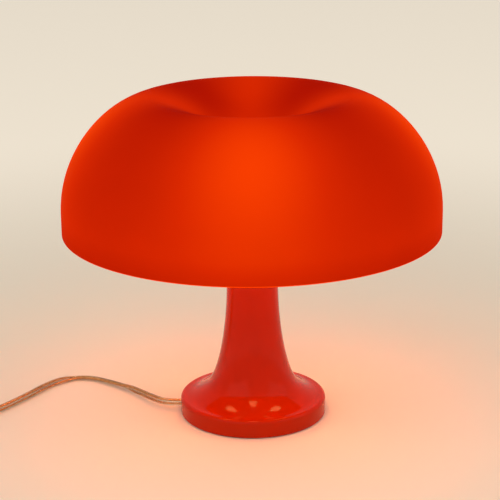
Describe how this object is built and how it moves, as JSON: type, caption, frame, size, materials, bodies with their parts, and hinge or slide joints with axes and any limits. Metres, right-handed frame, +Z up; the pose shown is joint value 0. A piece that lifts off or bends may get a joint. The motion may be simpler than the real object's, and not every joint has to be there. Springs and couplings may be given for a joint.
{
  "type": "mushroom table lamp",
  "caption": "Round table lamp: a domed plastic shade with a sunken top on a flared column foot, lamps inside, and a clear twin cord.",
  "frame": {"origin": "on the table under the middle of the foot", "axes": "+Z up along the column; -Y is the front; the cord leaves the foot towards -X"},
  "size_m": [0.5516, 0.32, 0.2793],
  "materials": {
    "stem_plastic": "injection-moulded ABS, polished, orange",
    "shade_plastic": "translucent orange moulded plastic, satin gloss",
    "knob_plastic": "moulded ABS, orange",
    "iron": "black varnished casting",
    "felt": "pressed felt, black",
    "black_plastic": "moulded",
    "zinc_steel": "zinc plated",
    "bakelite": "moulded thermoset, off-white",
    "brass": "turned",
    "nickel_brass": "nickel plated",
    "cap_metal": "rolled thread",
    "opal_globe": "opal moulded globe, lit",
    "seat_plastic": "moulded",
    "gasket_rubber": "moulded",
    "clear_flex": "clear sleeve over copper strands",
    "wire_sleeve": "extruded",
    "switch_plastic": "moulded, clear grey",
    "rocker_plastic": "moulded",
    "plug_plastic": "moulded, clear",
    "pin_metal": "nickel plated"
  },
  "bodies": {
    "root": {"ballast": "iron", "base_cover": "black_plastic", "base_screws": "zinc_steel", "centre_contacts": "brass", "clamp_screws": "zinc_steel", "cord_clamp": "black_plastic", "cord_coil": "clear_flex", "cord_inner_tail": "clear_flex", "cord_outer_tail": "clear_flex", "cord_run": "clear_flex", "foot_pad": "felt", "foot_stem": "stem_plastic", "holder_nipples": "zinc_steel", "holder_nuts": "zinc_steel", "lamp_bracket": "zinc_steel", "lamp_wires": "wire_sleeve", "lampholder_back": "bakelite", "lampholder_front": "bakelite", "lampholder_left": "bakelite", "lampholder_right": "bakelite", "lower_nut": "zinc_steel", "lower_washer": "zinc_steel", "mains_lead": "clear_flex", "pin_sleeves": "black_plastic", "plug_body": "plug_plastic", "plug_pins": "pin_metal", "seat_gasket": "gasket_rubber", "shade_seat": "seat_plastic", "spacer_tube": "zinc_steel", "switch_contacts": "brass", "switch_lower": "switch_plastic", "switch_screws": "zinc_steel", "switch_upper": "switch_plastic", "terminal_block": "bakelite", "thread_sleeve_back": "nickel_brass", "thread_sleeve_front": "nickel_brass", "thread_sleeve_left": "nickel_brass", "thread_sleeve_right": "nickel_brass", "tie_rod": "zinc_steel", "upper_nut": "zinc_steel", "upper_washer": "zinc_steel"},
    "bulb_back": {"bulb_cap_back": "cap_metal", "bulb_globe_back": "opal_globe"},
    "bulb_front": {"bulb_cap_front": "cap_metal", "bulb_globe_front": "opal_globe"},
    "bulb_left": {"bulb_cap_left": "cap_metal", "bulb_globe_left": "opal_globe"},
    "bulb_right": {"bulb_cap_right": "cap_metal", "bulb_globe_right": "opal_globe"},
    "knob": {"knob_insert": "brass", "shade_knob": "knob_plastic"},
    "knob_washer": {"knob_washer": "brass"},
    "shade": {"shade": "shade_plastic"},
    "rocker": {"switch_rocker": "rocker_plastic"}
  },
  "joints": [
    {"name": "shade_lift", "type": "slide", "parent": "root", "child": "shade", "axis": [0, 0, 1], "range_m": [0, 0.12]},
    {"name": "knob_rise", "type": "slide", "parent": "shade", "child": "knob_washer", "axis": [0, 0, 1], "range_m": [0, 0.0081]},
    {"name": "knob_turn", "type": "hinge", "parent": "knob_washer", "child": "knob", "pos_m": [0, 0, 0.2402], "axis": [0, 0, 1], "range_deg": [0, 2880]},
    {"name": "bulb_right_out", "type": "slide", "parent": "root", "child": "bulb_right", "axis": [1, 0, 0], "range_m": [0, 0.02]},
    {"name": "bulb_back_out", "type": "slide", "parent": "root", "child": "bulb_back", "axis": [0, 1, 0], "range_m": [0, 0.02]},
    {"name": "bulb_left_out", "type": "slide", "parent": "root", "child": "bulb_left", "axis": [-1, 0, 0], "range_m": [0, 0.02]},
    {"name": "bulb_front_out", "type": "slide", "parent": "root", "child": "bulb_front", "axis": [0, -1, 0], "range_m": [0, 0.02]},
    {"name": "switch_rock", "type": "hinge", "parent": "root", "child": "rocker", "pos_m": [-0.295, -0.022, 0.0098], "axis": [0, -1, 0], "range_deg": [0, 16]}
  ],
  "couplings": [
    {"joint": "knob_rise", "follows": "knob_turn", "m_per_rad": 0.00015915}
  ]
}
